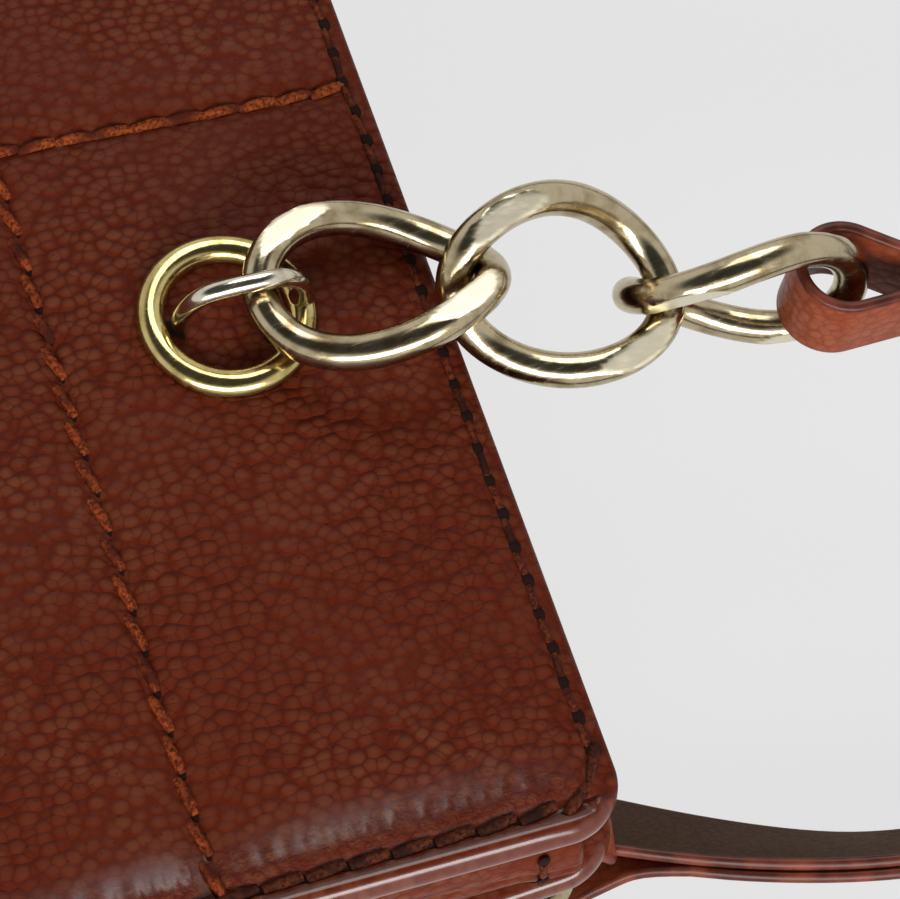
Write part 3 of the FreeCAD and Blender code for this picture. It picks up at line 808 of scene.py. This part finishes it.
# straps: two layers with painted edges, the outer one folded round the last link
strapSet = {"half": 4.5, "layer": 1.2, "gap": 0.05, "bore": 3.8, "neck": 11.0, "margin": 1.5}
strapStitch = {
    "Pitch": 3.2, "Length": 2.5, "Thick": 0.26, "Rise": 0.16,
    "Slant": 0.1, "Hole": 0.3, "Thread": darkThread,
}
frontLay = {
    "bar": (73.461, 22.892, 24.724), "fall": 0.11535, "heading": math.radians(19),
    "leg": 51.173, "bend": 95.314,
}
backLay = {
    "radius": 120.499, "y": 25.022, "heading": math.radians(20.551), "start": 6.5,
    "neck": 5.2, "lidStart": 1.5, "flap": 0.6, "turn": 1.4, "count": 266,
    "along": (0, 6, 12, 28, 45, 80, 130, 300), "asides": (-2.5, -1.3, 0.0, 3.4, 5.0, 3.4, 0.0, 0.0),
    "tilts": (38, 42, 45, 58, 58, 46, 32, 24),
}
# centre of each loop and the direction of the link's bar in it
backLoops = {
    "left": ((-112.433, -18.066, 5.549), (-0.881, -0.404, 0.248)),
    "right": ((112.521, -18.089, 6.150), (0.888, -0.403, -0.220)),
}


def loopPath(centre, along, wide, inward, neck, flap=0.0):
    p = strapSet
    mid = p["gap"] + p["layer"] / 2
    r = p["bore"] + p["layer"] / 2
    centre, along, wide = Vector(centre), Vector(along).normalized(), Vector(wide).normalized()
    b = Vector(inward)
    b = (b - along * b.dot(along) - wide * b.dot(wide)).normalized()
    reach = math.hypot(neck, mid)
    touch = math.atan2(mid, neck) + math.acos(r / reach)
    flat = [] if flap else [(neck + 0.5, mid)]
    tip = (r * math.cos(touch), r * math.sin(touch))
    for t in np.linspace(max(0.06, flap), 1, 8):
        flat.append((neck + (tip[0] - neck) * t, mid + (tip[1] - mid) * t))
    for a in np.linspace(touch, 2 * math.pi - touch, 34)[1:]:
        flat.append((r * math.cos(a), r * math.sin(a)))
    for t in np.linspace(0, 0.94, 8)[1:]:
        flat.append((tip[0] + (neck - tip[0]) * t, -tip[1] + (tip[1] - mid) * t))
    return [centre + along * u + b * v for u, v in flat], [wide] * len(flat)


def bandMesh(name, points, wides, mats):
    p = strapSet
    t, half, r = p["layer"] / 2, p["half"], 0.5
    ring = []
    x, y = half - r, t - r
    for cx, cy, start in ((x, y, 0), (-x, y, 90), (-x, -y, 180), (x, -y, 270)):
        for k in range(5):
            a = math.radians(start + 22.5 * k)
            ring.append((cx + r * math.cos(a), cy + r * math.sin(a)))
    sides = len(ring)
    verts, faces, index = [], [], []
    for i in range(len(points)):
        way = (Vector(points[min(i + 1, len(points) - 1)]) - Vector(points[max(i - 1, 0)])).normalized()
        wide = (Vector(wides[i]) - way * Vector(wides[i]).dot(way)).normalized()
        n = way.cross(wide)
        for u, v in ring:
            verts.append((Vector(points[i]) + wide * u + n * v) * mm)
    for i in range(len(points) - 1):
        for j in range(sides):
            k = (j + 1) % sides
            faces.append((i * sides + j, (i + 1) * sides + j, (i + 1) * sides + k, i * sides + k))
            index.append(0 if j in (4, 14) else 1)
    faces += [tuple(range(sides)), tuple(range((len(points) - 1) * sides, len(points) * sides))]
    return newPiece(name, verts, faces, mats, index + [1, 1])


def bandStitches(name, points, wides, side, body):
    p = strapSet
    runs = []
    for s in (-1, 1):
        line, ups = [], []
        for i in range(len(points)):
            way = (Vector(points[min(i + 1, len(points) - 1)]) - Vector(points[max(i - 1, 0)])).normalized()
            wide = (Vector(wides[i]) - way * Vector(wides[i]).dot(way)).normalized()
            n = way.cross(wide) * side
            line.append(Vector(points[i]) + wide * (s * (p["half"] - p["margin"])) + n * (p["layer"] / 2 + 0.02))
            ups.append(n)
        runs.append((line, ups))
    sew(name, runs, body, strapStitch)


def smoothed(points, passes, low, high):
    pts = [Vector(p) for p in points]
    for _ in range(passes):
        pts = [pts[i] if i < low or i >= high else (pts[i - 1] + pts[i] * 2 + pts[i + 1]) / 4 for i in range(len(pts))]
    return pts


def makeFrontStrap():
    f, p = frontLay, strapSet
    down = Vector((0, math.cos(f["fall"]), -math.sin(f["fall"])))
    wide = Vector((0, math.sin(f["fall"]), math.cos(f["fall"])))
    root = Vector((0, f["bar"][1], f["bar"][2]))
    ch, sh = math.cos(f["heading"]), math.sin(f["heading"])
    hubY = f["leg"] * ch + f["bend"] * sh
    path = []
    for d in np.arange(p["neck"] + 0.5, f["leg"], 1.5):
        path.append((-f["bar"][0] - sh * d, ch * d, -ch, -sh))
    for a in np.linspace(math.pi + f["heading"], -f["heading"], 190):
        path.append((f["bend"] * math.cos(a), hubY + f["bend"] * math.sin(a), math.cos(a), math.sin(a)))
    for d in np.arange(p["neck"] + 0.5, f["leg"], 1.5)[::-1]:
        path.append((f["bar"][0] + sh * d, ch * d, ch, -sh))
    mid = p["gap"] + p["layer"] / 2
    layers = []
    for off in (mid, -mid):
        layers.append([root + alongX * (x + nx * off) + down * (y + ny * off) for x, y, nx, ny in path])
    leftIn = alongX * ch + down * sh
    rightIn = -alongX * ch + down * sh
    left, _ = loopPath(root - alongX * f["bar"][0], -alongX * sh + down * ch, wide, leftIn, p["neck"])
    right, _ = loopPath(root + alongX * f["bar"][0], alongX * sh + down * ch, wide, rightIn, p["neck"])
    outer = left + layers[0] + right[::-1]
    wides = [wide] * len(outer)
    piece = bandMesh("frontStrapOuter", outer, wides, [strapLeather, edgeMat])
    settle(piece, "front strap", "strap_leather", "front_strap_outer")
    piece = bandMesh("frontStrapLining", layers[1], wides, [strapUnder, edgeMat])
    settle(piece, "front strap", "strap_leather", "front_strap_lining")
    bandStitches("frontStrapOuterStitches", layers[0], wides, -1, "front strap")
    bandStitches("frontStrapLiningStitches", layers[1], wides, 1, "front strap")


def makeBackStrap():
    b, p = backLay, strapSet
    mid = p["gap"] + p["layer"] / 2
    reach = b["radius"] * (math.pi / 2 + b["heading"])
    outer, lining, wides, lids = [], [], [], []
    for way in np.linspace(-reach + b["lidStart"], reach - b["lidStart"], b["count"]):
        d = reach - abs(way)
        a = math.pi / 2 - way / b["radius"]
        tilt = math.radians(np.interp(d, b["along"], b["tilts"]))
        tc, ts = math.cos(tilt), math.sin(tilt)
        out = Vector((math.cos(a), math.sin(a), 0))
        wide = out * tc + Vector((0, 0, ts))
        lid = Vector((0, 0, tc)) - out * ts
        lie = p["half"] * ts + 1.25 * tc + 0.05
        here = Vector((0, b["y"], lie)) + out * (b["radius"] + np.interp(d, b["along"], b["asides"]))
        outer.append(here - lid * mid)
        lining.append(here + lid * mid)
        wides.append(wide)
        lids.append(lid)
    outer, lining, wides = [smoothed(line, 12, 2, len(line) - 2) for line in (outer, lining, wides)]
    lidWides = wides
    trim = int(round((b["start"] - b["lidStart"]) / (2 * (reach - b["lidStart"]) / (len(wides) - 1))))
    outer, wides = outer[trim:-trim], wides[trim:-trim]
    ends = []
    for side, i in (("left", 0), ("right", -1)):
        centre, bar = Vector(backLoops[side][0]), Vector(backLoops[side][1]).normalized()
        k = trim if i == 0 else -trim - 1
        along = (outer[i] + lining[k]) / 2 - centre
        lean = wides[i] if wides[i].dot(bar) > 0 else -wides[i]
        neck = max(along.length - 0.5, b["neck"])
        loop, across = loopPath(centre, along, bar + lean * b["turn"], lids[k], neck, b["flap"])
        ends.append((loop, across if across[0].dot(wides[i]) > 0 else [-w for w in across]))
    (left, leftWide), (right, rightWide) = ends
    n = len(left)
    allPoints = left + outer + right[::-1]
    allWides = leftWide + wides + rightWide[::-1]
    allWides = smoothed(allWides, 40, n - 9, n + 3)
    allWides = smoothed(allWides, 40, len(allWides) - n - 3, len(allWides) - n + 9)
    allPoints = smoothed(allPoints, 8, n - 5, n + 5)
    allPoints = smoothed(allPoints, 8, len(allPoints) - n - 5, len(allPoints) - n + 5)
    piece = bandMesh("backStrapOuter", allPoints, allWides, [strapLeather, edgeMat])
    settle(piece, "back strap", "strap_leather", "back_strap_outer")
    piece = bandMesh("backStrapLining", lining, lidWides, [strapUnder, edgeMat])
    settle(piece, "back strap", "strap_leather", "back_strap_lining")
    bandStitches("backStrapLiningStitches", lining, lidWides, -1, "back strap")
    bandStitches("backStrapOuterStitches", outer, wides, 1, "back strap")


makeFrontStrap()
makeBackStrap()
print("straps made")


# side gussets, bowed out softly, with a turned hem at the mouth
gussetSet = {
    "outer": 117.0, "inner": 115.4, "base": -195.222, "mouth": -18.712,
    "lowBase": 3.473, "lowMouth": 15.57, "highBase": 54.911, "highMouth": 26.955,
    "bow": 1.5, "hem": 5.0, "hemRise": 0.35,
}


def makeGusset(side, s):
    g = gussetSet
    us = np.concatenate((np.linspace(0, 0.93, 62), np.linspace(0.935, 1, 26)))
    vs = np.linspace(0, 1, 31)
    long = g["mouth"] - g["base"]
    verts = []
    for layer in (0, 1):
        for u in us:
            y = g["base"] + long * u
            low = g["lowBase"] + (g["lowMouth"] - g["lowBase"]) * u
            high = g["highBase"] + (g["highMouth"] - g["highBase"]) * u
            left = long * (1 - u)
            hem = g["hemRise"] * (1 / (1 + math.exp((left - g["hem"]) / 0.35)))
            lipDrop = 0.8 * max(0, 1 - left / 0.9) ** 2
            for v in vs:
                bow = g["bow"] * math.sin(math.pi * v) ** 0.8 * (0.55 + 0.45 * math.cos(2.2 * u) + 1.1 * u ** 6)
                bow -= 0.45 * math.exp(-((v - 0.5) / 0.05) ** 2) * min(1, u * 3)
                bow += 0.12 * math.sin(u * 31 + v * 4) * math.sin(math.pi * v)
                soft = 0.8 * (max(0, 1 - v / 0.035) ** 2 + max(0, 1 - (1 - v) / 0.035) ** 2)
                x = g["outer"] + bow + hem - lipDrop - soft * 0.4 if layer == 0 else g["inner"] + max(0, bow) * 0.2
                verts.append(Vector((s * x, y, low + (high - low) * v)) * mm)
    rows, cols = len(us), len(vs)
    size = rows * cols
    faces = gridFaces(rows, cols) + gridFaces(rows, cols, size)
    ring = gridRing(rows, cols)
    for i in range(len(ring)):
        j = ring[(i + 1) % len(ring)]
        faces.append((ring[i], j, j + size, ring[i] + size))
    piece = newPiece(side + "Gusset", verts, faces, [sideLeather])
    settle(piece, "bag", "bag_leather", side + "_gusset")
    row = int(np.argmin(np.abs(long * (1 - us) - g["hem"] + 1.0)))
    run = [Vector(verts[row * cols + c]) / mm + Vector((s * 0.1, 0, 0)) for c in range(1, cols - 1)]
    sew(side + "GussetStitches", [(run, [Vector((s, 0, 0))] * len(run))], "bag", mouthStitch)


makeGusset("right", 1)
makeGusset("left", -1)


# softened copies of the plain sewn pieces
def softCopy(node, name, mat, body, slot, bevel, cuts, wave):
    bm = bmesh.new()
    bm.from_mesh(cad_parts[node].data)
    bm.transform(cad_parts[node].matrix_world)
    bmesh.ops.remove_doubles(bm, verts=bm.verts, dist=1e-6)
    bmesh.ops.dissolve_limit(bm, angle_limit=0.01, verts=bm.verts, edges=bm.edges)
    bmesh.ops.subdivide_edges(bm, edges=[e for e in bm.edges if e.calc_length() > 0.02], cuts=cuts, use_grid_fill=True)
    bmesh.ops.recalc_face_normals(bm, faces=bm.faces)
    sharp = [e for e in bm.edges if len(e.link_faces) == 2 and e.calc_face_angle() > 0.6]
    bmesh.ops.bevel(bm, geom=sharp, offset=bevel * mm, segments=2, affect="EDGES", profile=0.5)
    for v in bm.verts:
        x, y, z = v.co / mm
        v.co.z += wave[2] * mm * math.sin(x / 14 + 0.7) * math.sin(y / 18 + 0.2)
        v.co.y += wave[1] * mm * math.sin(x / 16) * math.sin(z / 9)
        v.co.x += wave[0] * mm * math.sin(y / 15) * math.sin(z / 8)
    mesh = bpy.data.meshes.new(name)
    bm.to_mesh(mesh)
    bm.free()
    mesh.materials.append(mat)
    mesh.shade_smooth()
    mesh.set_sharp_from_angle(angle=math.radians(50))
    piece = bpy.data.objects.new(name, mesh)
    scene.collection.objects.link(piece)
    settle(piece, body, slot, node)


softCopy("base_panel", "basePanel", sideLeather, "bag", "bag_leather", 0.4, 20, (0, 0.12, 0))
softCopy("lining", "lining", liningCloth, "bag", "lining_cloth", 0.2, 20, (0, 0, 0.02))
softCopy("right_gusset_facing", "rightGussetFacing", facingLeather, "bag", "facing_leather", 0.2, 12, (0, 0, 0))
softCopy("left_gusset_facing", "leftGussetFacing", facingLeather, "bag", "facing_leather", 0.2, 12, (0, 0, 0))
softCopy("back_facing", "backFacing", facingLeather, "bag", "facing_leather", 0.3, 16, (0, 0, 0.02))
softCopy("front_facing", "frontFacing", facingLeather, "bag", "facing_leather", 0.3, 16, (0, 0, 0.02))
softCopy("slip_pocket", "slipPocket", liningCloth, "bag", "lining_cloth", 0.25, 16, (0, 0, 0.02))
keptNodes = {"base_board": boardMat, "eyelet_plates": plateMat, "snap_socket": ringGold, "snap_stud": ringGold}
for node, mat in keptNodes.items():
    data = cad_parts[node].data
    data.materials.clear()
    data.materials.append(mat)
print("soft pieces made")


# studio: pale floor that keeps the shadow, large soft lamps
studioSet = {"floor": 0.783, "world": 0.8, "dim": 0.06, "rise": (-0.3, -0.05), "fall": (0.82, 0.58), "floorZ": -0.0006}


def makeFloor():
    mesh = bpy.data.meshes.new("floor")
    r = 3.0
    mesh.from_pydata([(-r, -r, 0), (r, -r, 0), (r, r, 0), (-r, r, 0)], [], [(0, 1, 2, 3)])
    mesh.transform(Matrix.Translation((0, 0, studioSet["floorZ"])))
    floor = bpy.data.objects.new("floor", mesh)
    scene.collection.objects.link(floor)
    mat = bpy.data.materials.new("paleFloor")
    mat.use_nodes = True
    tree = mat.node_tree
    tree.nodes.clear()
    g = studioSet["floor"]
    path = put(tree, "ShaderNodeLightPath")
    seen = mathOf(tree, "MAXIMUM", path.outputs["Is Camera Ray"], path.outputs["Is Glossy Ray"])
    seen = mathOf(tree, "MAXIMUM", seen, path.outputs["Is Transmission Ray"])
    matte = put(tree, "ShaderNodeBsdfDiffuse", {"Color": (g, g, g, 1)})
    glow = put(tree, "ShaderNodeEmission", {"Color": (g, g, g, 1), "Strength": 1.0})
    part = mathOf(tree, "MULTIPLY", seen, 0.93)
    both = put(tree, "ShaderNodeMixShader", {0: part, 1: matte.outputs[0], 2: glow.outputs[0]})
    put(tree, "ShaderNodeOutputMaterial", {0: both.outputs[0]})
    mesh.materials.append(mat)


def addLamp(name, place, aim, size, watts):
    data = bpy.data.lights.new(name, "AREA")
    data.shape = "RECTANGLE"
    data.size, data.size_y = size
    data.energy = watts
    lamp = bpy.data.objects.new(name, data)
    lamp.location = place
    lamp.rotation_euler = (Vector(aim) - Vector(place)).to_track_quat("-Z", "Y").to_euler()
    scene.collection.objects.link(lamp)


def makeStudio():
    makeFloor()
    world = bpy.data.worlds.new("studio")
    scene.world = world
    world.use_nodes = True
    tree = world.node_tree
    tree.nodes.clear()
    high = put(tree, "ShaderNodeSeparateXYZ", {0: put(tree, "ShaderNodeTexCoord").outputs["Generated"]}).outputs[2]
    fade = mathOf(tree, "MULTIPLY", ramp(tree, high, *studioSet["rise"]), ramp(tree, high, *studioSet["fall"]))
    g, d = studioSet["world"], studioSet["dim"]
    shade = mixColour(tree, fade, (d, d, d, 1), (g, g, g, 1))
    sky = put(tree, "ShaderNodeBackground", {"Color": shade, "Strength": 1.0})
    put(tree, "ShaderNodeOutputWorld", {0: sky.outputs[0]})
    addLamp("keyLamp", (-0.45, 0.25, 0.75), (0.05, -0.05, 0.02), (0.5, 0.5), 3.0)
    addLamp("sideLamp", (0.7, -0.15, 0.33), (0.1, -0.05, 0.02), (0.9, 0.24), 7.5)


makeStudio()
print("scene ready")
